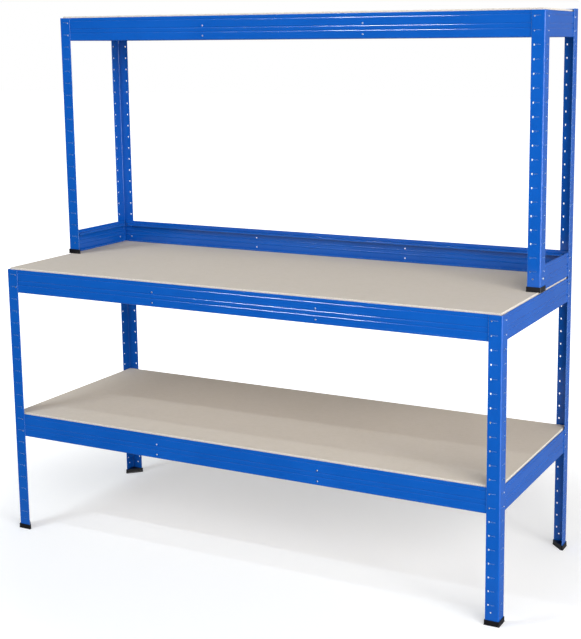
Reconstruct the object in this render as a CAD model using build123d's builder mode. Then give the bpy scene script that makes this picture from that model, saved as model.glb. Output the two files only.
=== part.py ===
from build123d import *

import os

# Boltless steel workbench with a full depth lower shelf and a half depth upper shelf.
# Lengths are in millimetres. X runs along the width, +Y to the rear and +Z up.
# The origin is on the floor, in the middle of the width and of the depth.

# Overall sizes, over the outer faces of the posts
overall_width = 1600.0
overall_depth = 600.0
upper_depth = 300.0
slot_pitch = 38.0

# Board levels, counted in slot pitches above the floor
lower_shelf_steps = 10
worktop_steps = 22
top_shelf_steps = 42

# Boards
board_thickness = 15.0
board_proud = 5.0
board_clearance = 1.0
board_edge_ease = 0.6

# Angle posts
post_flange = 38.0
post_sheet = 1.8
post_bend_radius = 2.0
rear_post_proud = 3.0

# Slots in the posts: a round eye near the free edge, a notch below it and a shallow score from
# the eye towards the post's corner
slot_edge_distance = 8.0
slot_eye_radius = 1.9
slot_notch_width = 3.0
slot_score_height = 1.7
slot_score_length = 17.5
slot_score_depth = 1.3
slot_top_margin = 8.0
first_slot_steps = 3
base_hole_edge_distance = 15.5

# Beams, roll formed from sheet
beam_sheet = 1.2
beam_web_gap = 0.2
beam_hem_width = 4.0
beam_hem_radius = 1.2
beam_bend_radius = 2.0
beam_ledge_depth = 20.0
beam_ledge_lip = 5.0
beam_foot_depth = 12.0
beam_foot_lip = 5.0
beam_end_gap = 4.0
beam_corner_gap = 6.0
beam_groove_shares = (0.15, 0.49, 0.67)
beam_groove_depth = 1.1
beam_groove_flank = 1.7
beam_groove_floor = 1.2
beam_groove_radius = 1.0
beam_relief_gap = 0.5

# Lugs that hook the beams into the posts
lug_radius = 1.3
lug_clearance = 0.15
lug_head_radius = 1.8
lug_head_height = 1.0
lug_tail_radius = 3.0
lug_tail_height = 1.2
lug_drop = 2.2

# Cross bars under the boards, and their rivets
bar_sheet = 1.5
bar_width = 30.0
bar_gap = 0.4
bar_bend_radius = 2.5
bar_place_shares = (1 / 3, 2 / 3)
rivet_radius = 1.6
rivet_head_radius = 2.6
rivet_head_height = 1.1
rivet_groove_gap = 3.6
rivet_foot_gap = 11.5
rivet_clearance = 0.15

# Bolts of the upper frame
bolt_radius = 2.0
bolt_clearance = 0.2
bolt_head_radius = 4.0
bolt_head_height = 2.6
bolt_nut_radius = 4.2
bolt_nut_height = 3.4

# Plastic feet
foot_sole = 3.0
foot_height = 14.0
foot_wall = 1.8
foot_clearance = 0.2
foot_flare = 0.8
foot_flare_height = 4.0
foot_corner_radius = 2.0

# One overrun serves all cuts
overrun = 5.0

# Sizes that follow from the ones above
lower_shelf_level = lower_shelf_steps * slot_pitch
worktop_level = worktop_steps * slot_pitch
top_shelf_level = top_shelf_steps * slot_pitch
half_width = overall_width / 2
half_depth = overall_depth / 2
upper_front_y = half_depth - upper_depth
slot_eye_place = post_flange - slot_edge_distance
base_hole_place = post_flange - base_hole_edge_distance
base_hole_radius = bolt_radius + bolt_clearance

# Beams hang from the lugs, so the slots follow from the beam's height and the lug's drop
beam_height = 2 * slot_pitch - board_proud
first_slot = (first_slot_steps - 1 / 2) * slot_pitch - board_proud - beam_height / 2 + lug_drop
web_place = post_sheet + beam_web_gap
board_inset = web_place + beam_hem_width + board_clearance
ledge_drop = board_thickness - board_proud

# A beam's end and its ledge's end, both from the outer corner, clear of the beam round it
beam_end_inset = web_place + beam_hem_width + beam_end_gap
beam_ledge_inset = web_place + beam_ledge_depth + beam_corner_gap

# Depths below a beam's top edge. The upper rivet sits just above the middle groove.
groove_half = beam_groove_flank + beam_groove_floor / 2
middle_groove_drop = beam_height * beam_groove_shares[1]
upper_rivet_drop = middle_groove_drop - groove_half - rivet_groove_gap
rivet_drops = (upper_rivet_drop, beam_height - rivet_foot_gap)
bar_end_drop = ledge_drop + beam_ledge_lip + bar_gap
bar_bottom_drop = beam_height - beam_foot_lip - bar_gap

# Distances in from a post's outer face, the first to the inner face of the beam's grooves
crest_place = web_place + beam_groove_depth + beam_sheet
bar_relief_place = web_place + beam_ledge_depth + bar_gap
foot_reach = foot_clearance + foot_wall

# The sides of a frame, each with the direction in which it runs. Going round them in this
# order keeps the inside of the frame on the left.
up = Vector(0, 0, 1)
turns = {
    "front": Vector(1, 0, 0),
    "right": Vector(0, 1, 0),
    "rear": Vector(-1, 0, 0),
    "left": Vector(0, -1, 0),
}


def corner(side, front_y):
    """The outer corner at which a side starts, in a frame whose front is at front_y."""
    places = {
        "front": Vector(-half_width, front_y, 0),
        "right": Vector(half_width, front_y, 0),
        "rear": Vector(half_width, half_depth, 0),
        "left": Vector(-half_width, half_depth, 0),
    }
    return places[side]


def side_length(side, front_y):
    """Length of one side over the outer faces of its posts."""
    return overall_width if side in ("front", "rear") else half_depth - front_y


def side_plane(side, front_y, depth=0):
    """A plane that looks at a side from outside: x along it, y up, depth in from its face."""
    along = turns[side]
    inward = up.cross(along)
    return Plane(origin=corner(side, front_y) + inward * depth, x_dir=along, z_dir=-inward)


def flat_plane(side, front_y, level):
    """A level plane with its origin at the corner where the side starts, x along the side."""
    return Plane(origin=corner(side, front_y) + up * level, x_dir=turns[side], z_dir=up)


def lug_points(side, front_y, top, foot_end=None):
    """Places of a beam's lugs on its side plane, two at each end. The end that stands over
    an upper post's foot has only the upper one, since the post's slots start above it."""
    ends = {"near": slot_eye_place, "far": side_length(side, front_y) - slot_eye_place}
    middle = top - beam_height / 2
    points = []
    for end, x in ends.items():
        rows = (1,) if end == foot_end else (1, -1)
        points += [(x, middle + row * slot_pitch / 2) for row in rows]
    return points


def bolt_point(side, front_y, top, foot_end):
    """Place of the bolt that takes the lower lug's place at a base tie's foot end."""
    length = side_length(side, front_y)
    x = base_hole_place if foot_end == "near" else length - base_hole_place
    return (x, top - beam_height / 2)


def rivet_points(top):
    """Places of the cross bar rivets on a front or rear beam."""
    places = [overall_width * share for share in bar_place_shares]
    return [(x, top - drop) for x in places for drop in rivet_drops]


def finish(built, name):
    """Labels a finished piece and writes it."""
    built.part.label = name
    export_step(built.part, f"parts/{name}.step")


# Posts and feet

def post_section(grow):
    """The angle's outline with its corner at the origin, grown on every side by a clearance."""
    sheet = post_sheet + grow
    tip = post_flange + grow
    with BuildSketch() as section:
        with BuildLine():
            Polyline(
                (-grow, -grow),
                (tip, -grow),
                (tip, sheet),
                (sheet, sheet),
                (sheet, tip),
                (-grow, tip),
                close=True,
            )
        make_face()
        outer = section.vertices().sort_by_distance((-grow, -grow, 0))[0]
        fillet(outer, post_bend_radius + sheet)
        inner = section.vertices().sort_by_distance((sheet, sheet, 0))[0]
        fillet(inner, post_bend_radius)
    return section.sketch


def make_post(name, side, front_y, base, top):
    """A slotted angle post at the corner where the side starts, standing in its foot."""
    bottom = base + foot_sole
    slotted = top - slot_top_margin - slot_eye_radius - base - first_slot
    count = int(slotted // slot_pitch) + 1
    heights = [base + first_slot + step * slot_pitch for step in range(count)]
    eyes = [(slot_eye_place, height) for height in heights]
    notches = [(slot_eye_place, height - lug_drop / 2) for height in heights]
    scores = [(slot_eye_place - slot_score_length / 2, height) for height in heights]
    along = turns[side]
    second_flange = Plane(origin=corner(side, front_y), x_dir=up.cross(along), z_dir=along)
    with BuildPart() as post:
        with BuildSketch(flat_plane(side, front_y, bottom)):
            add(post_section(0))
        extrude(amount=top - bottom)
        for plane in (side_plane(side, front_y), second_flange):
            with BuildSketch(plane):
                with Locations(*eyes):
                    Circle(slot_eye_radius)
                with Locations(*notches):
                    SlotCenterToCenter(lug_drop, slot_notch_width, rotation=90)
                with Locations((base_hole_place, base + beam_height / 2)):
                    Circle(base_hole_radius)
            extrude(amount=post_sheet + overrun, both=True, mode=Mode.SUBTRACT)
            with BuildSketch(plane):
                with Locations(*scores):
                    Rectangle(slot_score_length, slot_score_height)
            extrude(amount=slot_score_depth, both=True, mode=Mode.SUBTRACT)
    finish(post, name)


def foot_outline(spread):
    """A foot's outline: walls along the two flanges, joined across by a straight edge."""
    near = foot_reach + spread
    far = post_flange + near
    inner = post_sheet + near
    with BuildSketch() as outline:
        with BuildLine():
            Polyline(
                (-near, -near),
                (far, -near),
                (far, inner),
                (inner, far),
                (-near, far),
                close=True,
            )
        make_face()
        fillet(outline.vertices().sort_by_distance((-near, -near, 0))[0], foot_corner_radius)
    return outline.sketch


def make_foot(name, side, front_y, base):
    """A moulded foot: a flared sole, walls round the post and a pocket for the post."""
    with BuildPart() as foot:
        with BuildSketch(flat_plane(side, front_y, base)):
            add(foot_outline(foot_flare))
        with BuildSketch(flat_plane(side, front_y, base + foot_flare_height)):
            add(foot_outline(0))
        loft(ruled=True)
        with BuildSketch(flat_plane(side, front_y, base + foot_flare_height)):
            add(foot_outline(0))
        extrude(amount=foot_height - foot_flare_height)
        with BuildSketch(flat_plane(side, front_y, base + foot_sole)):
            add(post_section(foot_clearance))
        extrude(amount=foot_height, mode=Mode.SUBTRACT)
    finish(foot, name)


# Beams

def beam_profile():
    """The rolled beam's section: x inwards from the outer face of its web, y up from its top
    edge. The sheet's middle line follows the ledge, the hem, the web and the foot."""
    half_sheet = beam_sheet / 2
    path = [
        (beam_ledge_depth - half_sheet, -ledge_drop - beam_ledge_lip),
        (beam_ledge_depth - half_sheet, -ledge_drop - half_sheet),
        (beam_hem_width - half_sheet, -ledge_drop - half_sheet),
        (beam_hem_width - half_sheet, -half_sheet),
        (half_sheet, -half_sheet),
    ]
    for share in beam_groove_shares:
        middle = -beam_height * share
        path += [
            (half_sheet, middle + groove_half),
            (half_sheet + beam_groove_depth, middle + beam_groove_floor / 2),
            (half_sheet + beam_groove_depth, middle - beam_groove_floor / 2),
            (half_sheet, middle - groove_half),
        ]
    path += [
        (half_sheet, half_sheet - beam_height),
        (beam_foot_depth - half_sheet, half_sheet - beam_height),
        (beam_foot_depth - half_sheet, beam_foot_lip - beam_height),
    ]
    radii = [beam_bend_radius] + 3 * [beam_hem_radius]
    radii += 4 * len(beam_groove_shares) * [beam_groove_radius] + 2 * [beam_bend_radius]
    with BuildSketch() as section:
        with BuildLine():
            FilletPolyline(*path, radius=radii)
        trace(line_width=beam_sheet)
    return section.sketch


def end_relief():
    """The part of the beam's section that its ends leave to the beams round the corner."""
    with BuildSketch() as relief:
        with Locations((beam_hem_width, overrun)):
            Rectangle(
                beam_ledge_depth + overrun,
                beam_height + 2 * overrun,
                align=(Align.MIN, Align.MAX),
            )
    return relief.sketch


def foot_relief():
    """The part of a base tie's section that stays clear of the foot of an upper post."""
    with BuildSketch() as relief:
        with Locations((-overrun, -beam_height - overrun)):
            Rectangle(
                beam_ledge_depth + 2 * overrun,
                overrun + foot_height + beam_relief_gap,
                align=(Align.MIN, Align.MIN),
            )
    return relief.sketch


def make_beam(name, side, front_y, top, foot_end=None):
    """A beam between two posts, with the holes for its fasteners. The foot_end, if any, is
    the end that stands over an upper post's foot."""
    along = turns[side]
    inward = up.cross(along)
    length = side_length(side, front_y) - 2 * beam_end_inset
    setback = beam_ledge_inset - beam_end_inset
    foot_length = post_flange + foot_reach + foot_flare + beam_relief_gap - beam_end_inset
    start = corner(side, front_y) + along * beam_end_inset + inward * web_place + up * top
    with BuildPart() as beam:
        with BuildSketch(Plane(origin=start, x_dir=inward, z_dir=along)):
            add(beam_profile())
        extrude(amount=length)
        for place in (start, start + along * (length - setback)):
            with BuildSketch(Plane(origin=place, x_dir=inward, z_dir=along)):
                add(end_relief())
            extrude(amount=setback, mode=Mode.SUBTRACT)
        if foot_end:
            place = start if foot_end == "near" else start + along * (length - foot_length)
            with BuildSketch(Plane(origin=place, x_dir=inward, z_dir=along)):
                add(foot_relief())
            extrude(amount=foot_length, mode=Mode.SUBTRACT)
        with BuildSketch(side_plane(side, front_y)):
            with Locations(*lug_points(side, front_y, top, foot_end)):
                Circle(lug_radius + lug_clearance)
            if side in ("front", "rear"):
                with Locations(*rivet_points(top)):
                    Circle(rivet_radius + rivet_clearance)
            if foot_end:
                with Locations(bolt_point(side, front_y, top, foot_end)):
                    Circle(base_hole_radius)
        extrude(amount=-crest_place - overrun, mode=Mode.SUBTRACT)
    finish(beam, name)


# Boards

def make_board(name, front_y, level):
    """A board that drops in between the hems of the beams and lies on their ledges."""
    with BuildPart() as board:
        with BuildSketch(Plane.XY.offset(level - board_thickness)):
            with Locations((0, (half_depth + front_y) / 2)):
                Rectangle(overall_width - 2 * board_inset, half_depth - front_y - 2 * board_inset)
        extrude(amount=board_thickness)
        fillet(board.edges(), board_edge_ease)
    finish(board, name)


# Cross bars

def make_bar(name, share, front_y, top):
    """A channel under a board, from the front beam to the rear beam, with closed ends."""
    length = half_depth - front_y - 2 * crest_place
    relief = bar_relief_place - crest_place
    start = Vector(overall_width * share - half_width, half_depth - crest_place, top)
    rear = Plane(origin=start, x_dir=(1, 0, 0), z_dir=(0, -1, 0))
    edge = (Align.CENTER, Align.MAX)
    with BuildPart() as bar:
        with BuildSketch(rear) as section:
            with Locations((0, -ledge_drop)):
                Rectangle(bar_width, bar_bottom_drop - ledge_drop, align=edge)
            crown = section.vertices().group_by(Axis.Y)[-1]
            fillet(crown, bar_bend_radius)
            with Locations((0, -ledge_drop - bar_sheet)):
                Rectangle(
                    bar_width - 2 * bar_sheet,
                    bar_bottom_drop - ledge_drop,
                    align=edge,
                    mode=Mode.SUBTRACT,
                )
        extrude(amount=length)
        for distance in (0, length - relief):
            with BuildSketch(rear.offset(distance)):
                with Locations((0, overrun)):
                    Rectangle(bar_width + overrun, bar_end_drop + overrun, align=edge)
            extrude(amount=relief, mode=Mode.SUBTRACT)
        for distance in (0, length - bar_sheet):
            with BuildSketch(rear.offset(distance)):
                with Locations((0, -bar_end_drop)):
                    Rectangle(bar_width, bar_bottom_drop - bar_end_drop, align=edge)
            extrude(amount=bar_sheet)
        for side in ("front", "rear"):
            with BuildSketch(side_plane(side, front_y)):
                with Locations(*rivet_points(top)):
                    Circle(rivet_radius + rivet_clearance)
            extrude(amount=-crest_place - bar_sheet - overrun, mode=Mode.SUBTRACT)
    finish(bar, name)


# Fasteners

def make_fasteners(name, places, layers):
    """A group of like fasteners. Places give a side, its frame's front and the points on the
    side plane. Layers give a radius, a depth in from the post's face and a height."""
    with BuildPart() as group:
        for side, front_y, points in places:
            for radius, depth, height in layers:
                with BuildSketch(side_plane(side, front_y, depth)):
                    with Locations(*points):
                        Circle(radius)
                extrude(amount=-height)
    finish(group, name)


def make_bolts(name, places):
    """A group of bolts with round heads outside and hexagon nuts on the beam's middle groove."""
    with BuildPart() as group:
        for side, front_y, point in places:
            with BuildSketch(side_plane(side, front_y, -bolt_head_height)):
                with Locations(point):
                    Circle(bolt_head_radius)
            extrude(amount=-bolt_head_height)
            with BuildSketch(side_plane(side, front_y)):
                with Locations(point):
                    Circle(bolt_radius)
            extrude(amount=-crest_place - bolt_nut_height)
            with BuildSketch(side_plane(side, front_y, crest_place)):
                with Locations(point):
                    RegularPolygon(bolt_nut_radius, 6)
            extrude(amount=-bolt_nut_height)
    finish(group, name)


# All pieces

os.makedirs("parts", exist_ok=True)

lower_top = worktop_level - board_proud
upper_top = top_shelf_level - board_proud
rear_top = top_shelf_level + rear_post_proud

# Each post's corner is the one at which the named side starts
posts = {
    "rear_left": ("left", -half_depth, 0, rear_top),
    "rear_right": ("rear", -half_depth, 0, rear_top),
    "front_left": ("front", -half_depth, 0, lower_top),
    "front_right": ("right", -half_depth, 0, lower_top),
    "upper_left": ("front", upper_front_y, worktop_level, upper_top),
    "upper_right": ("right", upper_front_y, worktop_level, upper_top),
}
for name, (side, front_y, base, top) in posts.items():
    make_post(f"{name}_post", side, front_y, base, top)
    make_foot(f"{name}_foot", side, front_y, base)

# Layers of a lug and of a rivet: outer head, shank and inner head
lug_layers = [
    (lug_head_radius, -lug_head_height, lug_head_height),
    (lug_radius, 0, web_place + beam_sheet),
    (lug_tail_radius, web_place + beam_sheet, lug_tail_height),
]
rivet_layers = [
    (rivet_head_radius, web_place - rivet_head_height, rivet_head_height),
    (rivet_radius, web_place, crest_place + bar_sheet - web_place),
    (rivet_head_radius, crest_place + bar_sheet, rivet_head_height),
]

# Each shelf's frame: where its front is and the level of its board
frames = {
    "lower_shelf": (-half_depth, lower_shelf_level),
    "worktop": (-half_depth, worktop_level),
    "top_shelf": (upper_front_y, top_shelf_level),
}
for name, (front_y, level) in frames.items():
    top = level - board_proud
    for side in turns:
        make_beam(f"{name}_{side}_beam", side, front_y, top)
    for place, share in zip(("left", "right"), bar_place_shares):
        make_bar(f"{name}_{place}_bar", share, front_y, top)
    make_board(f"{name}_board", front_y, level)
    lugs = [(side, front_y, lug_points(side, front_y, top)) for side in turns]
    make_fasteners(f"{name}_lugs", lugs, lug_layers)
    rivets = [(side, front_y, rivet_points(top)) for side in ("front", "rear")]
    make_fasteners(f"{name}_rivets", rivets, rivet_layers)

# Base ties of the upper frame, which stand on the worktop
tie_top = worktop_level + beam_height
ties = {"rear": None, "left": "far", "right": "near"}
tie_lugs = []
for side, foot_end in ties.items():
    make_beam(f"base_{side}_tie", side, upper_front_y, tie_top, foot_end)
    points = lug_points(side, upper_front_y, tie_top, foot_end)
    tie_lugs.append((side, upper_front_y, points))
make_fasteners("base_tie_lugs", tie_lugs, lug_layers)
bolted = [
    (side, upper_front_y, bolt_point(side, upper_front_y, tie_top, foot_end))
    for side, foot_end in ties.items()
    if foot_end
]
make_bolts("upper_frame_bolts", bolted)
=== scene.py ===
"""Looks of a boltless steel workbench with shelving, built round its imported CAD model.

The posts, beams, bars, boards and feet keep their CAD meshes and get their finishes, and the
feet's corners are rounded. The fasteners are modelled again in finer detail. Lengths are in
metres, +X to the right, +Y to the rear and +Z up, with the origin on the floor in the middle
of the bench.
"""

import logging
from dataclasses import dataclass, field
from enum import Enum
from typing import Any

import bpy
import numpy as np
from mathutils import Matrix, Vector

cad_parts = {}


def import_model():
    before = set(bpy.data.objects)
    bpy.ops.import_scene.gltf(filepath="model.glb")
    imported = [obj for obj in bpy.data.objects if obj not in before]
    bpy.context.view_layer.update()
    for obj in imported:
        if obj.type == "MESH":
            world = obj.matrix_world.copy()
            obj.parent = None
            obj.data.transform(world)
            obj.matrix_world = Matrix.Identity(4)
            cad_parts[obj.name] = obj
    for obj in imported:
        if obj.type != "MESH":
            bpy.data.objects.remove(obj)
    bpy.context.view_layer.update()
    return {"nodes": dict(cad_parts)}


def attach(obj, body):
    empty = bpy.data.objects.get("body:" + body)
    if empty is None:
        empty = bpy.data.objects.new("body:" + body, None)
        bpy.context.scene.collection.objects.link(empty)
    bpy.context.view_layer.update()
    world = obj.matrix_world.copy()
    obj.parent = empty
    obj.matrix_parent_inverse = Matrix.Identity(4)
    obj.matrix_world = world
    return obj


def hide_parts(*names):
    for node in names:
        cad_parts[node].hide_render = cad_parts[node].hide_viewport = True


Array = np.ndarray
Place = tuple["Side", float, float, float]

MM = 0.001
FRAME_BODY = "frame"
WHITE = "#FFFFFF"
STRIP_WHITE = "#EAF5FF"
# A dome stops this many degrees up its arc, and a small pole fan closes it
DOME_END = 84.0
HEX_STEP = np.pi / 3
# A radius below this, in metres, counts as on the axis
ON_AXIS = 1e-9
LOG = logging.getLogger("workbench")


class Side(Enum):
    """The sides of a frame, each with the direction in which it runs."""

    FRONT = (1.0, 0.0)
    RIGHT = (0.0, 1.0)
    REAR = (-1.0, 0.0)
    LEFT = (0.0, -1.0)


# Small tools


def linear(code: str) -> tuple[float, float, float, float]:
    """Turns an sRGB hex colour into the linear colour that the shaders take.

    Args:
        code: Six hex digits, with or without a leading #.

    Returns:
        Red, green, blue and an alpha of 1.
    """
    text = code.lstrip("#")
    parts = [int(text[i : i + 2], 16) / 255 for i in (0, 2, 4)]
    red, green, blue = (
        p / 12.92 if p <= 0.04045 else ((p + 0.055) / 1.055) ** 2.4 for p in parts
    )
    return (red, green, blue, 1.0)


def add_node(
    tree: bpy.types.NodeTree, kind: str, links: dict[Any, Any] | None = None, **settings: Any
) -> bpy.types.Node:
    """Adds one node with its settings, values and links.

    Args:
        tree: The node tree that takes the node.
        kind: The node's type, without the ShaderNode in front.
        links: For each input, by name or number, the value it has or the output it reads.
        **settings: The node's own properties.

    Returns:
        The new node.
    """
    made = tree.nodes.new("ShaderNode" + kind)
    for name, value in settings.items():
        setattr(made, name, value)
    for name, value in (links or {}).items():
        if isinstance(value, bpy.types.NodeSocket):
            tree.links.new(value, made.inputs[name])
        else:
            made.inputs[name].default_value = value
    return made


def new_material(name: str) -> tuple[bpy.types.Material, bpy.types.NodeTree]:
    """Starts an empty node material and returns it with its tree."""
    material = bpy.data.materials.new(name)
    material.use_nodes = True
    material.node_tree.nodes.clear()
    return material, material.node_tree


def ramp(tree: bpy.types.NodeTree, factor: Any, stops: dict[float, str]) -> Any:
    """Adds a colour ramp.

    Args:
        tree: The node tree that takes the ramp.
        factor: The output that drives it.
        stops: A hex colour for each position, from low to high.

    Returns:
        The ramp's colour output.
    """
    made = add_node(tree, "ValToRGB", {"Fac": factor})
    elements = made.color_ramp.elements
    while len(elements) < len(stops):
        elements.new(0.5)
    for element, (position, code) in zip(elements, sorted(stops.items())):
        element.position = position
        element.color = linear(code)
    return made.outputs["Color"]


def mix_colours(tree: bpy.types.NodeTree, share: Any, first: Any, second: Any) -> Any:
    """Adds a mix of two colours.

    Args:
        tree: The node tree that takes the mix.
        share: The second colour's share, from 0 to 1.
        first: The first colour.
        second: The second colour.

    Returns:
        The mixed colour's output.
    """
    # A colour mix has its factor, its two colours and its result at these numbers
    links = {0: share, 6: first, 7: second}
    return add_node(tree, "Mix", links, data_type="RGBA").outputs[2]


def dress(piece: bpy.types.Object, material: bpy.types.Material) -> None:
    """Gives a piece or a CAD node its one material."""
    piece.data.materials.clear()
    piece.data.materials.append(material)


def soften(
    piece: bpy.types.Object, width: float, segments: int = 2, sharp_from: float = 30.0
) -> None:
    """Rounds a moulded piece's corners inwards.

    Args:
        piece: The piece or CAD node.
        width: The width of the rounding in metres.
        segments: How many flats make the rounding.
        sharp_from: The angle in degrees past which an edge is a corner.
    """
    bevel = piece.modifiers.new("moulded_corners", "BEVEL")
    bevel.width = width
    bevel.segments = segments
    bevel.limit_method = "ANGLE"
    bevel.angle_limit = np.radians(sharp_from)


def make_piece(
    name: str, points: Array, faces: Array, finish: "Finish", crease: float = 35.0
) -> bpy.types.Object:
    """Makes a mesh object from worked-out points and faces.

    Args:
        name: The piece's name.
        points: Its points, one row each, in metres.
        faces: Rows of four point numbers. A triangle repeats its last number.
        finish: The finish it gets.
        crease: The angle in degrees past which an edge stays sharp.

    Returns:
        The object, at the origin, riding on the frame.
    """
    mesh = bpy.data.meshes.new(name)
    rows = [row[:3] if row[2] == row[3] else row for row in faces.tolist()]
    mesh.from_pydata(points.tolist(), [], rows)
    mesh.shade_smooth()
    mesh.set_sharp_from_angle(angle=np.radians(crease))
    piece = bpy.data.objects.new(name, mesh)
    bpy.context.scene.collection.objects.link(piece)
    dress(piece, finish.material())
    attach(piece, FRAME_BODY)
    return piece


def rings_surface(rings: Array) -> tuple[Array, Array]:
    """Skins a stack of closed rings and closes both ends at a pole.

    Formula: the quad between ring i and ring i + 1 and between point j and point j + 1 joins
    the four grid points there, and each end ring is joined to its own middle by triangles.

    Args:
        rings: Points on a grid of rings by points round each ring by three.

    Returns:
        The points and the faces.
    """
    count, around = rings.shape[:2]
    numbers = np.arange(count * around).reshape(count, around)
    turned = np.roll(numbers, -1, axis=1)
    walls = np.stack([numbers[:-1], turned[:-1], turned[1:], numbers[1:]], axis=-1)
    poles = np.array([count * around, count * around + 1])
    first = np.stack([turned[0], numbers[0]] + [np.full(around, poles[0])] * 2, axis=-1)
    last = np.stack([numbers[-1], turned[-1]] + [np.full(around, poles[1])] * 2, axis=-1)
    points = np.vstack([rings.reshape(-1, 3), rings[0].mean(axis=0), rings[-1].mean(axis=0)])
    return points, np.vstack([walls.reshape(-1, 4), first, last])


def repeat(points: Array, faces: Array, frames: Array, origins: Array) -> tuple[Array, Array]:
    """Sets one shape at several places.

    Formula: every point becomes its own frame's axes, weighted by its coordinates, plus that
    frame's origin.

    Args:
        points: The shape's points about its own origin.
        faces: The shape's faces.
        frames: For each place, the three axes of the shape as the rows of a matrix.
        origins: For each place, where the shape's origin goes.

    Returns:
        The points and the faces of them all.
    """
    placed = np.einsum("pk,nkj->npj", points, frames) + origins[:, None, :]
    shifts = (np.arange(len(frames)) * len(points))[:, None, None]
    return placed.reshape(-1, 3), (faces[None] + shifts).reshape(-1, 4)


def dome(radius: float, rise: float, steps: int = 6) -> Array:
    """Profile of a low dome from its rim to near its top.

    Formula: radius times the cosine, and rise times the sine, of an angle that runs from 0 to
    the dome's end.

    Args:
        radius: The dome's radius.
        rise: Its height.
        steps: How many points the profile has.

    Returns:
        Rows of radius and height above the rim.
    """
    angle = np.radians(np.linspace(0, DOME_END, steps))
    return np.column_stack([radius * np.cos(angle), rise * np.sin(angle)])


# Finishes


@dataclass(frozen=True)
class Finish:
    """What all finishes share: a name for the material and the record's slot."""

    name: str = ""
    slot: str = ""

    def material(self) -> bpy.types.Material:
        """The finish's material, built on its first use."""
        return bpy.data.materials.get(self.name) or self.build()

    def build(self) -> bpy.types.Material:
        """Builds the material."""
        raise NotImplementedError


@dataclass(frozen=True)
class PowderCoat(Finish):
    """Semi-gloss polyester powder coat, sprayed dry and baked on the steel sheet. The eye sees
    one deep even blue with soft streaks of light along every fold and a faint orange peel in
    them. A pale line along every edge is a painted highlight."""

    name: str = "powder_coat_blue"
    slot: str = "blue_paint"
    body: str = "#0A55AF"
    body_dark: str = "#0951A9"
    # The pale blue of the painted highlight along every edge
    edge: str = "#9AC6F5"
    roughness: tuple[float, float] = (0.12, 0.15)
    ior: float = 1.5
    peel_mm: float = 2.2
    peel_depth_mm: float = 0.2
    peel_strength: float = 0.04
    cloud_mm: float = 160.0
    edge_mm: float = 1.0
    edge_samples: int = 4
    # How far the rounded and the flat normal agree where the painted edge highlight starts and is
    # brightest
    highlight_agrees: tuple[float, float] = (0.97, 0.80)
    highlight_share: float = 0.75

    def build(self) -> bpy.types.Material:
        """Builds the coat: peel bump on rounded edges, slow colour clouds, a painted highlight on
        the edges.
        """
        material, tree = new_material(self.name)
        place = add_node(tree, "TexCoord").outputs["Object"]
        cloud = add_node(
            tree, "TexNoise", {"Vector": place, "Scale": 1 / (self.cloud_mm * MM), "Detail": 3.0}
        ).outputs["Fac"]
        coat = ramp(tree, cloud, {0.35: self.body_dark, 0.65: self.body})
        rounded = add_node(
            tree, "Bevel", {"Radius": self.edge_mm * MM}, samples=self.edge_samples
        ).outputs["Normal"]
        # Painted highlight: near an edge, where the rounded normal turns from the flat one, the
        # colour is mixed towards the pale edge blue
        plain = add_node(tree, "NewGeometry").outputs["True Normal"]
        same = add_node(
            tree, "VectorMath", {0: rounded, 1: plain}, operation="DOT_PRODUCT"
        ).outputs["Value"]
        start, full = self.highlight_agrees
        edge_highlight = add_node(
            tree, "MapRange", {"Value": same, 1: start, 2: full, 3: 0.0, 4: self.highlight_share}
        ).outputs["Result"]
        colour = mix_colours(tree, edge_highlight, coat, linear(self.edge))
        # A real orange peel is about 1 mm across and is drawn twice as wide to show at all
        peel = add_node(
            tree, "TexNoise", {"Vector": place, "Scale": 1 / (self.peel_mm * MM), "Detail": 2.0}
        ).outputs["Fac"]
        bump = add_node(
            tree,
            "Bump",
            {
                "Height": peel,
                "Strength": self.peel_strength,
                "Distance": self.peel_depth_mm * MM,
                "Normal": rounded,
            },
        ).outputs["Normal"]
        smooth, rougher = self.roughness
        rough = add_node(
            tree, "MapRange", {"Value": cloud, 1: 0.3, 2: 0.7, 3: smooth, 4: rougher}
        ).outputs["Result"]
        shader = add_node(
            tree,
            "BsdfPrincipled",
            {"Base Color": colour, "Roughness": rough, "IOR": self.ior, "Normal": bump},
        )
        add_node(tree, "OutputMaterial", {"Surface": shader.outputs["BSDF"]})
        return material


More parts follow.
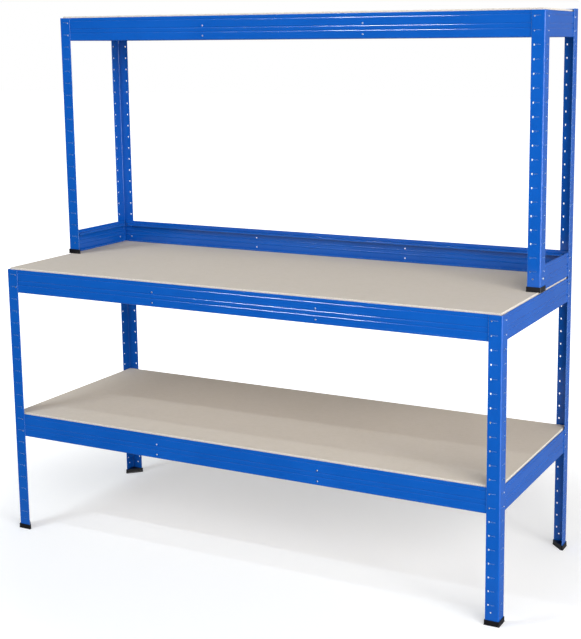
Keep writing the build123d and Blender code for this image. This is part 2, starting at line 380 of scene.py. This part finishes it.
@dataclass(frozen=True)
class Chipboard(Finish):
    """Raw chipboard: small wood flakes pressed with glue and sanded. The eye sees a matt
    grey-tan face with a fine mottle of flakes, and rougher, paler sawn edges with pits."""

    name: str = "raw_chipboard"
    slot: str = "board"
    flake_light: str = "#D5CABD"
    flake: str = "#D3C8BA"
    flake_dark: str = "#D0C5B6"
    edge: str = "#DCD5CA"
    edge_pit: str = "#B0A696"
    roughness: float = 0.82
    ior: float = 1.45
    shine: float = 0.25
    flake_mm: float = 7.0
    flake_squeeze: tuple[float, float, float] = (0.6, 1.0, 1.0)
    dust_mm: float = 1.6
    dust_depth_mm: float = 0.4
    dust_strength: float = 0.15
    drift_mm: float = 220.0
    # What flakes, dust and drift each add to the mottle
    mottle_shares: tuple[float, float, float] = (0.35, 0.40, 0.35)
    # A face whose normal rises less than this is a sawn edge
    sawn_below: float = 0.5

    def build(self) -> bpy.types.Material:
        """Builds the board: flakes and dust on the faces, pitted core on the edges."""
        material, tree = new_material(self.name)
        place = add_node(tree, "TexCoord").outputs["Object"]
        stretched = add_node(
            tree, "Mapping", {"Vector": place, "Scale": self.flake_squeeze}
        ).outputs["Vector"]
        flakes = add_node(
            tree, "TexVoronoi", {"Vector": stretched, "Scale": 1 / (self.flake_mm * MM)}
        ).outputs["Color"]
        dust = add_node(
            tree, "TexNoise", {"Vector": place, "Scale": 1 / (self.dust_mm * MM), "Detail": 4.0}
        ).outputs["Fac"]
        drift = add_node(
            tree, "TexNoise", {"Vector": place, "Scale": 1 / (self.drift_mm * MM), "Detail": 2.0}
        ).outputs["Fac"]
        by_flake, by_dust, by_drift = self.mottle_shares
        mottle = add_node(tree, "Math", {0: flakes, 1: by_flake}, operation="MULTIPLY").outputs[0]
        for pattern, share in ((dust, by_dust), (drift, by_drift)):
            mottle = add_node(
                tree, "Math", {0: pattern, 1: share, 2: mottle}, operation="MULTIPLY_ADD"
            ).outputs[0]
        face = ramp(
            tree, mottle, {0.30: self.flake_dark, 0.55: self.flake, 0.80: self.flake_light}
        )
        core = ramp(tree, dust, {0.38: self.edge_pit, 0.50: self.edge})
        normal = add_node(tree, "NewGeometry").outputs["True Normal"]
        level = add_node(tree, "SeparateXYZ", {0: normal}).outputs["Z"]
        upright = add_node(tree, "Math", {0: level}, operation="ABSOLUTE").outputs[0]
        sawn = add_node(
            tree, "Math", {0: upright, 1: self.sawn_below}, operation="LESS_THAN"
        ).outputs[0]
        colour = mix_colours(tree, sawn, face, core)
        depth = self.dust_depth_mm * MM
        bump = add_node(
            tree, "Bump", {"Height": dust, "Strength": self.dust_strength, "Distance": depth}
        ).outputs["Normal"]
        shader = add_node(
            tree,
            "BsdfPrincipled",
            {
                "Base Color": colour,
                "Roughness": self.roughness,
                "IOR": self.ior,
                "Specular IOR Level": self.shine,
                "Normal": bump,
            },
        )
        add_node(tree, "OutputMaterial", {"Surface": shader.outputs["BSDF"]})
        return material


@dataclass(frozen=True)
class MouldedPlastic(Finish):
    """Black polypropylene, injection moulded in a spark-eroded mould. The eye sees a soft dark
    sheen, broken by a fine leathery grain."""

    name: str = "moulded_black_plastic"
    slot: str = "foot_plastic"
    body: str = "#0C0C13"
    body_dark: str = "#08080E"
    roughness: float = 0.42
    ior: float = 1.49
    grain_mm: float = 0.9
    grain_depth_mm: float = 0.2
    grain_strength: float = 0.3

    def build(self) -> bpy.types.Material:
        """Builds the plastic with its moulded grain."""
        material, tree = new_material(self.name)
        place = add_node(tree, "TexCoord").outputs["Object"]
        grain = add_node(
            tree, "TexNoise", {"Vector": place, "Scale": 1 / (self.grain_mm * MM), "Detail": 3.0}
        ).outputs["Fac"]
        depth = self.grain_depth_mm * MM
        bump = add_node(
            tree, "Bump", {"Height": grain, "Strength": self.grain_strength, "Distance": depth}
        ).outputs["Normal"]
        colour = ramp(tree, grain, {0.3: self.body_dark, 0.7: self.body})
        shader = add_node(
            tree,
            "BsdfPrincipled",
            {"Base Color": colour, "Roughness": self.roughness, "IOR": self.ior, "Normal": bump},
        )
        add_node(tree, "OutputMaterial", {"Surface": shader.outputs["BSDF"]})
        return material


@dataclass(frozen=True)
class ZincPlate(Finish):
    """Steel with bright zinc plate from a barrel. The eye sees a clear cool metal, slightly
    uneven in its shine where the parts have rubbed together."""

    name: str = "bright_zinc_plate"
    slot: str = "zinc"
    body: str = "#D3D9E2"
    dull: str = "#AEB8C6"
    roughness: tuple[float, float] = (0.22, 0.42)
    rub_mm: float = 1.5

    def build(self) -> bpy.types.Material:
        """Builds the plate with its rubbed patches."""
        material, tree = new_material(self.name)
        place = add_node(tree, "TexCoord").outputs["Object"]
        rub = add_node(
            tree, "TexNoise", {"Vector": place, "Scale": 1 / (self.rub_mm * MM), "Detail": 2.0}
        ).outputs["Fac"]
        colour = ramp(tree, rub, {0.35: self.dull, 0.6: self.body})
        bright, dulled = self.roughness
        rough = add_node(
            tree, "MapRange", {"Value": rub, 1: 0.3, 2: 0.7, 3: dulled, 4: bright}
        ).outputs["Result"]
        shader = add_node(
            tree, "BsdfPrincipled", {"Base Color": colour, "Metallic": 1.0, "Roughness": rough}
        )
        add_node(tree, "OutputMaterial", {"Surface": shader.outputs["BSDF"]})
        return material


# The bench


@dataclass(frozen=True)
class Layout:
    """Sizes that the assemblies share, in metres, over the outer faces of the posts."""

    width: float = 1.600
    half_depth: float = 0.300
    pitch: float = 0.038
    lug_edge: float = 0.030
    beam_height: float = 0.071
    board_proud: float = 0.005
    hole_edge: float = 0.0225

    @property
    def shelves(self) -> dict[str, tuple[float, float]]:
        """Each shelf frame's front Y and the height of its board's face, from the bottom up."""
        front = -self.half_depth
        return {
            "lower_shelf": (front, 0.380),
            "worktop": (front, 0.836),
            "top_shelf": (0.0, 1.596),
        }

    def start(self, side: Side, front_y: float) -> Array:
        """The outer corner at which a side starts, in a frame whose front is at front_y."""
        half = self.width / 2
        places = {
            Side.FRONT: (-half, front_y, 0.0),
            Side.RIGHT: (half, front_y, 0.0),
            Side.REAR: (half, self.half_depth, 0.0),
            Side.LEFT: (-half, self.half_depth, 0.0),
        }
        return np.array(places[side])

    def length(self, side: Side, front_y: float) -> float:
        """Length of one side of a frame."""
        return self.width if side in (Side.FRONT, Side.REAR) else self.half_depth - front_y

    def axes(self, side: Side) -> Array:
        """Axes of a side as rows: along it, up, and outwards from its face."""
        along = np.array([*side.value, 0.0])
        up = np.array([0.0, 0.0, 1.0])
        return np.stack([along, up, np.cross(along, up)])

    def spot(self, place: Place) -> Array:
        """The point on a side's face at a distance along it and a height."""
        side, front_y, along, height = place
        axes = self.axes(side)
        return self.start(side, front_y) + axes[0] * along + axes[1] * height


@dataclass(frozen=True)
class Turning:
    """A turned part on a side's face, as closed rings about its axis. Depth runs inwards."""

    around: int = 20

    def profile(self) -> Array:
        """Rows of radius and distance outwards, from the inner end to the outer end."""
        raise NotImplementedError

    def shape(self) -> tuple[Array, Array]:
        """The part's points and faces.

        Formula: each profile row is a circle, its radius times the cosine and sine of the
        turn, at its own distance along the axis.

        Returns:
            The points and the faces.
        """
        profile = self.profile()
        turn = np.linspace(0, 2 * np.pi, self.around, endpoint=False)
        radius = profile[:, :1]
        out = np.broadcast_to(profile[:, 1:], (len(profile), self.around))
        return rings_surface(np.stack([radius * np.cos(turn), radius * np.sin(turn), out], axis=-1))

    def build(
        self, name: str, layout: Layout, places: list[Place], finish: Finish
    ) -> bpy.types.Object:
        """Builds a group of these parts as one piece that replaces the CAD node of its name.

        Args:
            name: The CAD node.
            layout: The bench's sizes.
            places: Where the parts sit.
            finish: Their finish.

        Returns:
            The piece.
        """
        frames = np.stack([layout.axes(place[0]) for place in places])
        origins = np.stack([layout.spot(place) for place in places])
        points, faces = repeat(*self.shape(), frames, origins)
        piece = make_piece(f"{name}_turned", points, faces, finish)
        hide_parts(name)
        LOG.info("%s: %d parts", piece.name, len(places))
        return piece


@dataclass(frozen=True)
class Lug(Turning):
    """A stud in the beam's web whose domed head hooks behind the notch of a post's slot."""

    head_radius: float = 0.0018
    head_rise: float = 0.0010
    shank_radius: float = 0.0013
    reach: float = 0.0032
    tail_radius: float = 0.0030
    tail_height: float = 0.0012

    def profile(self) -> Array:
        """Riveted tail, shank and domed head."""
        tail = dome(self.tail_radius, self.tail_height)[::-1] * (1, -1) + (0, -self.reach)
        shank = [(self.shank_radius, -self.reach), (self.shank_radius, 0.0)]
        return np.vstack([tail, shank, dome(self.head_radius, self.head_rise)])


@dataclass(frozen=True)
class Rivet(Turning):
    """A rivet that holds a cross bar to the web of a long beam."""

    head_radius: float = 0.0026
    head_rise: float = 0.0011
    shank_radius: float = 0.0016
    face_depth: float = 0.0020
    reach: float = 0.0058

    def profile(self) -> Array:
        """Inner head, shank and outer head, both heads domed."""
        inner = dome(self.head_radius, self.head_rise)[::-1] * (1, -1) + (0, -self.reach)
        shank = [(self.shank_radius, -self.reach), (self.shank_radius, -self.face_depth)]
        outer = dome(self.head_radius, self.head_rise) + (0, -self.face_depth)
        return np.vstack([inner, shank, outer])


@dataclass(frozen=True)
class Bolt(Turning):
    """A round-headed bolt with a hexagon nut on the beam's middle groove."""

    around: int = 48
    head_radius: float = 0.0040
    head_rise: float = 0.0026
    shank_radius: float = 0.0020
    nut_radius: float = 0.0042
    nut_near: float = 0.0043
    nut_far: float = 0.0077
    chamfer: float = 0.0005
    # The nut's round end faces, as a share of the distance to its flats
    end_share: float = 0.96
    # The upright rim's share of the head's rise. The rest is domed.
    rim_share: float = 0.25
    head_steps: int = 8

    @property
    def flat(self) -> float:
        """The distance from the axis to the nut's flats."""
        return self.nut_radius * np.cos(HEX_STEP / 2)

    def profile(self) -> Array:
        """Chamfered nut, shank and pan head. The nut's rows come first."""
        end = self.flat * self.end_share
        nut = [
            (self.shank_radius, -self.nut_far + self.chamfer),
            (self.shank_radius, -self.nut_far + self.chamfer / 2),
            (end, -self.nut_far),
            (self.nut_radius, -self.nut_far + self.chamfer),
            (self.nut_radius, -self.nut_near - self.chamfer),
            (end, -self.nut_near),
        ]
        shank = [(self.shank_radius, -self.nut_near), (self.shank_radius, 0.0)]
        foot = [(self.head_radius, 0.0)]
        rim = self.head_rise * self.rim_share
        head = dome(self.head_radius, self.head_rise - rim, self.head_steps) + (0, rim)
        return np.vstack([nut, shank, foot, head])

    def shape(self) -> tuple[Array, Array]:
        """The bolt's points and faces.

        Formula: as a turned part, but rows wider than the nut's flats keep inside a hexagon,
        whose radius is the flat's distance over the cosine of the turn from the flat's middle.

        Returns:
            The points and the faces.
        """
        points, faces = super().shape()
        radius = np.hypot(points[:, 0], points[:, 1])
        turn = np.arctan2(points[:, 1], points[:, 0])
        hexagon = self.flat / np.cos((turn + HEX_STEP / 2) % HEX_STEP - HEX_STEP / 2)
        limit = np.where(points[:, 2] < -self.nut_near + self.chamfer / 2, hexagon, np.inf)
        scale = np.minimum(radius, limit) / np.maximum(radius, ON_AXIS)
        points[:, :2] *= np.where(radius > ON_AXIS, scale, 1.0)[:, None]
        return points, faces


@dataclass(frozen=True)
class ShelfFrame:
    """Four beams, two cross bars and a board at one level, with their lugs and rivets."""

    name: str
    front_y: float
    level: float
    bar_shares: tuple[float, float] = (1 / 3, 2 / 3)
    rivet_drops: tuple[float, float] = (0.02889, 0.0595)

    def lug_places(self, layout: Layout) -> list[Place]:
        """Two lugs at each end of each beam, a slot pitch apart."""
        middle = self.level - layout.board_proud - layout.beam_height / 2
        return [
            (side, self.front_y, along, middle + half * layout.pitch)
            for side in Side
            for along in (layout.lug_edge, layout.length(side, self.front_y) - layout.lug_edge)
            for half in (0.5, -0.5)
        ]

    def rivet_places(self, layout: Layout) -> list[Place]:
        """Two rivets at each cross bar's end, on the front and rear beams."""
        top = self.level - layout.board_proud
        return [
            (side, self.front_y, layout.width * share, top - drop)
            for side in (Side.FRONT, Side.REAR)
            for share in self.bar_shares
            for drop in self.rivet_drops
        ]

    def build(self, nodes: dict[str, bpy.types.Object], layout: Layout, kit: "Kit") -> None:
        """Dresses the CAD beams, bars and board and builds the fasteners.

        Args:
            nodes: The CAD nodes by name.
            layout: The bench's sizes.
            kit: The finishes.
        """
        metal = [f"{self.name}_{side.name.lower()}_beam" for side in Side]
        metal += [f"{self.name}_{side}_bar" for side in ("left", "right")]
        for name in metal:
            dress(nodes[name], kit.coat.material())
        dress(nodes[f"{self.name}_board"], kit.board.material())
        Lug().build(f"{self.name}_lugs", layout, self.lug_places(layout), kit.zinc)
        Rivet().build(f"{self.name}_rivets", layout, self.rivet_places(layout), kit.zinc)
        LOG.info("%s: %d CAD nodes dressed", self.name, len(metal) + 1)


@dataclass(frozen=True)
class BaseTies:
    """The three beams that lie on the worktop and tie the upper frame, with lugs and bolts."""

    front_y: float = 0.0
    top: float = 0.907
    sides: tuple[Side, ...] = (Side.REAR, Side.LEFT, Side.RIGHT)

    def build(self, nodes: dict[str, bpy.types.Object], layout: Layout, kit: "Kit") -> None:
        """Dresses the ties and builds their lugs and the two bolts of the upper posts.

        Args:
            nodes: The CAD nodes by name.
            layout: The bench's sizes.
            kit: The finishes.
        """
        for side in self.sides:
            dress(nodes[f"base_{side.name.lower()}_tie"], kit.coat.material())
        LOG.info("base ties: %d CAD nodes dressed", len(self.sides))
        middle = self.top - layout.beam_height / 2
        side_length = layout.length(Side.LEFT, self.front_y)
        foot_ends = {Side.LEFT: side_length - layout.lug_edge, Side.RIGHT: layout.lug_edge}
        lugs = [
            (side, self.front_y, along, middle + half * layout.pitch)
            for side in self.sides
            for along in (layout.lug_edge, layout.length(side, self.front_y) - layout.lug_edge)
            for half in (0.5, -0.5)
            if half > 0 or along != foot_ends.get(side)
        ]
        Lug().build("base_tie_lugs", layout, lugs, kit.zinc)
        bolts = [
            (Side.LEFT, self.front_y, side_length - layout.hole_edge, middle),
            (Side.RIGHT, self.front_y, layout.hole_edge, middle),
        ]
        Bolt().build("upper_frame_bolts", layout, bolts, kit.zinc)


@dataclass(frozen=True)
class Post:
    """A slotted angle post and its plastic foot."""

    name: str
    foot_round: float = 0.0005

    def build(self, nodes: dict[str, bpy.types.Object], kit: "Kit") -> None:
        """Dresses the CAD post and its foot.

        Args:
            nodes: The CAD nodes by name.
            kit: The finishes.
        """
        dress(nodes[f"{self.name}_post"], kit.coat.material())
        foot = nodes[f"{self.name}_foot"]
        dress(foot, kit.plastic.material())
        soften(foot, self.foot_round)
        LOG.info("%s: post and foot dressed", self.name)


@dataclass(frozen=True)
class Kit:
    """The bench's finishes."""

    coat: PowderCoat = field(default_factory=PowderCoat)
    board: Chipboard = field(default_factory=Chipboard)
    plastic: MouldedPlastic = field(default_factory=MouldedPlastic)
    zinc: ZincPlate = field(default_factory=ZincPlate)


# The studio


@dataclass(frozen=True)
class Softbox:
    """A rectangular area lamp that faces a point."""

    name: str
    place: tuple[float, float, float]
    target: tuple[float, float, float]
    width: float
    height: float
    watts: float
    colour: str = WHITE

    def build(self) -> None:
        """Hangs the lamp and turns its face to the target."""
        lamp = bpy.data.lights.new(self.name, "AREA")
        lamp.shape = "RECTANGLE"
        lamp.color = linear(self.colour)[:3]
        lamp.size, lamp.size_y = self.width, self.height
        lamp.energy = self.watts
        holder = bpy.data.objects.new(self.name, lamp)
        bpy.context.scene.collection.objects.link(holder)
        aim = Vector(self.target) - Vector(self.place)
        turn = aim.to_track_quat("-Z", "Y").to_matrix().to_4x4()
        holder.matrix_world = Matrix.Translation(self.place) @ turn
        holder.visible_camera = False


@dataclass(frozen=True)
class Studio:
    """White floor, pale surround, softboxes and the camera."""

    floor_half: float = 30.0
    floor_colour: str = "#E6E6E6"
    floor_lift: float = 0.29
    fade_near: float = 0.75
    fade_far: float = 1.9
    surround_low: float = 0.95
    surround_high: float = 0.10
    # The rise of a heading at which the walls start to darken and the ceiling is reached
    wall_top: float = 0.40
    ceiling_from: float = 0.75
    gloss_lit: float = 0.26
    gloss_dim: float = 0.02
    gloss_side: float = 3.0
    # For the backdrop on the floor and round it: dim at, lit at, side from and side to
    floor_zones: tuple[float, float, float, float] = (-0.9, 0.0, 1.0, 1.6)
    sky_zones: tuple[float, float, float, float] = (-0.25, 0.2, 0.35, 0.60)
    eye: tuple[float, float, float] = (1.82888, -3.22014, 1.50344)
    yaw: float = 26.49
    pitch: float = -9.52
    roll: float = -0.35
    focal_px: float = 1255.64
    centre_px: tuple[float, float] = (350.0, 255.0)
    frame_px: tuple[int, int] = (581, 639)
    sensor: float = 36.0
    # Two strips that the beams' grooves mirror as streaks, and two boxes that light the bench
    boxes: tuple[Softbox, ...] = (
        Softbox(
            "bench_streak", (-1.75, -2.46, 3.56), (-1.75, -0.3, 0.79), 1.1, 0.12, 34.0, STRIP_WHITE
        ),
        Softbox(
            "shelf_streak", (-1.3, -1.43, 4.86), (-1.3, 0.0, 1.55), 0.8, 0.14, 28.0, STRIP_WHITE
        ),
        Softbox("key_box", (4.9, -4.1, 3.3), (0.0, 0.0, 0.6), 4.4, 2.6, 290.0),
        Softbox("right_box", (4.6, -1.6, 1.2), (0.0, 0.0, 0.9), 1.6, 2.0, 82.0),
    )

    def camera(self) -> None:
        """Sets the camera: level axes from yaw and pitch, then turned by the roll."""
        yaw, pitch, roll = np.radians([self.yaw, self.pitch, self.roll])
        right = np.array([np.cos(yaw), np.sin(yaw), 0.0])
        level = np.array([-np.sin(yaw), np.cos(yaw), 0.0])
        rise = np.array([0.0, 0.0, 1.0])
        ahead = level * np.cos(pitch) + rise * np.sin(pitch)
        above = rise * np.cos(pitch) - level * np.sin(pitch)
        side = right * np.cos(roll) + above * np.sin(roll)
        top = above * np.cos(roll) - right * np.sin(roll)
        turn = Matrix(np.column_stack([side, top, -ahead]).tolist()).to_4x4()
        data = bpy.data.cameras.new("photo_camera")
        wide, high = self.frame_px
        longest = max(wide, high)
        data.sensor_width = self.sensor
        data.lens = self.focal_px / longest * self.sensor
        data.shift_x = (wide / 2 - self.centre_px[0]) / longest
        data.shift_y = (self.centre_px[1] - high / 2) / longest
        holder = bpy.data.objects.new("photo_camera", data)
        holder.matrix_world = Matrix.Translation(self.eye) @ turn
        bpy.context.scene.collection.objects.link(holder)
        bpy.context.scene.camera = holder

    def floor(self) -> None:
        """Lays the white floor, which keeps the bench's shadow.

        Lamps light it as matt paper. The camera sees a plain glow added to that, which grows
        with the distance from the bench until the floor meets the white surround. Glossy and
        clear surfaces see the backdrop's strength on it instead.
        """
        edge = self.floor_half
        corners = [(-edge, -edge, 0), (edge, -edge, 0), (edge, edge, 0), (-edge, edge, 0)]
        mesh = bpy.data.meshes.new("white_floor")
        mesh.from_pydata(corners, [], [[0, 1, 2, 3]])
        sheet = bpy.data.objects.new("white_floor", mesh)
        bpy.context.scene.collection.objects.link(sheet)
        material, tree = new_material("white_paper_floor")
        path = add_node(tree, "LightPath").outputs
        place = add_node(tree, "TexCoord").outputs["Object"]
        away = add_node(tree, "VectorMath", {0: place}, operation="LENGTH").outputs["Value"]
        rise = add_node(
            tree,
            "MapRange",
            {"Value": away, 1: self.fade_near, 2: self.fade_far, 3: self.floor_lift, 4: 1.0},
            interpolation_type="SMOOTHSTEP",
        ).outputs["Result"]
        shown = add_node(
            tree, "Math", {0: rise, 1: path["Is Camera Ray"]}, operation="MULTIPLY"
        ).outputs[0]
        paper = add_node(tree, "BsdfDiffuse", {"Color": linear(self.floor_colour)}).outputs[0]
        glow = add_node(tree, "Emission", {"Strength": shown}).outputs[0]
        lit = add_node(tree, "AddShader", {0: paper, 1: glow}).outputs[0]
        mirrored = add_node(
            tree, "Emission", {"Strength": self.backdrop(tree, place, *self.floor_zones)}
        ).outputs[0]
        both = add_node(tree, "MixShader", {0: self.shine(tree), 1: lit, 2: mirrored})
        add_node(tree, "OutputMaterial", {"Surface": both.outputs[0]})
        dress(sheet, material)

    def shine(self, tree: bpy.types.NodeTree) -> Any:
        """1 for glossy and transmission rays, else 0."""
        path = add_node(tree, "LightPath").outputs
        rays = {0: path["Is Glossy Ray"], 1: path["Is Transmission Ray"]}
        return add_node(tree, "Math", rays, operation="MAXIMUM").outputs[0]

    def backdrop(
        self,
        tree: bpy.types.NodeTree,
        place: Any,
        dim_at: float,
        lit_at: float,
        side_from: float,
        side_to: float,
    ) -> Any:
        """How bright the studio looks in a glossy surface.

        The wall behind the bench is grey and the room in front is dark, but for a bright
        screen at its right, which the bench's right side mirrors.

        Args:
            tree: The node tree that takes the nodes.
            place: A place on the floor or a heading in the surround.
            dim_at: The Y below which it is dim, on the camera's side.
            lit_at: The Y above which it is fully lit.
            side_from: The X above which the camera's side brightens to a white screen.
            side_to: The X above which that screen is fully bright.

        Returns:
            The strength, where 1 is white.
        """
        axes = add_node(tree, "SeparateXYZ", {0: place}).outputs
        side = {"Value": axes["X"], 1: side_from, 2: side_to, 3: self.gloss_dim, 4: self.gloss_side}
        front = add_node(tree, "MapRange", side, interpolation_type="SMOOTHSTEP").outputs["Result"]
        levels = {"Value": axes["Y"], 1: dim_at, 2: lit_at, 3: front, 4: self.gloss_lit}
        return add_node(tree, "MapRange", levels, interpolation_type="SMOOTHSTEP").outputs["Result"]

    def world(self) -> None:
        """Makes the surround: soft light from the walls, and white where it is looked at.

        The walls are brighter than the ceiling, so light reaches the lower shelf under the
        worktop. Glossy and clear surfaces see the backdrop's strength instead.
        """
        world = bpy.data.worlds.new("studio")
        world.use_nodes = True
        tree = world.node_tree
        tree.nodes.clear()
        path = add_node(tree, "LightPath").outputs
        heading = add_node(tree, "TexCoord").outputs["Generated"]
        mirrored = self.backdrop(tree, heading, *self.sky_zones)
        height = add_node(tree, "SeparateXYZ", {0: heading}).outputs["Z"]
        levels = {
            "Value": height,
            1: self.wall_top,
            2: self.ceiling_from,
            3: self.surround_low,
            4: self.surround_high,
        }
        walls = add_node(tree, "MapRange", levels, interpolation_type="SMOOTHSTEP").outputs[0]
        soft = add_node(tree, "Mix", {0: self.shine(tree), 2: walls, 3: mirrored}).outputs[0]
        level = add_node(tree, "Mix", {0: path["Is Camera Ray"], 2: soft, 3: 1.0}).outputs[0]
        sky = add_node(tree, "Background", {"Color": linear(WHITE), "Strength": level})
        add_node(tree, "OutputWorld", {"Surface": sky.outputs[0]})
        bpy.context.scene.world = world

    def build(self) -> None:
        """Sets up the whole studio."""
        bpy.context.scene.view_settings.view_transform = "Standard"
        self.camera()
        self.floor()
        self.world()
        for box in self.boxes:
            box.build()
        LOG.info("studio: %d softboxes", len(self.boxes))


def plain(bounds: Any) -> list[list[float]]:
    """A box's two corners as plain lists of numbers."""
    return [[float(value) for value in corner] for corner in bounds]


def main() -> None:
    """Builds the bench round its frame and sets up the studio."""
    logging.basicConfig(level=logging.INFO, format="%(name)s: %(message)s")
    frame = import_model()
    nodes = frame["nodes"]
    layout, kit = Layout(), Kit()
    Studio().build()
    for row in ("rear", "front", "upper"):
        for end in ("left", "right"):
            Post(f"{row}_{end}").build(nodes, kit)
    for name, (front_y, level) in layout.shelves.items():
        ShelfFrame(name, front_y, level).build(nodes, layout, kit)
    BaseTies().build(nodes, layout, kit)


if __name__ == "__main__":
    main()
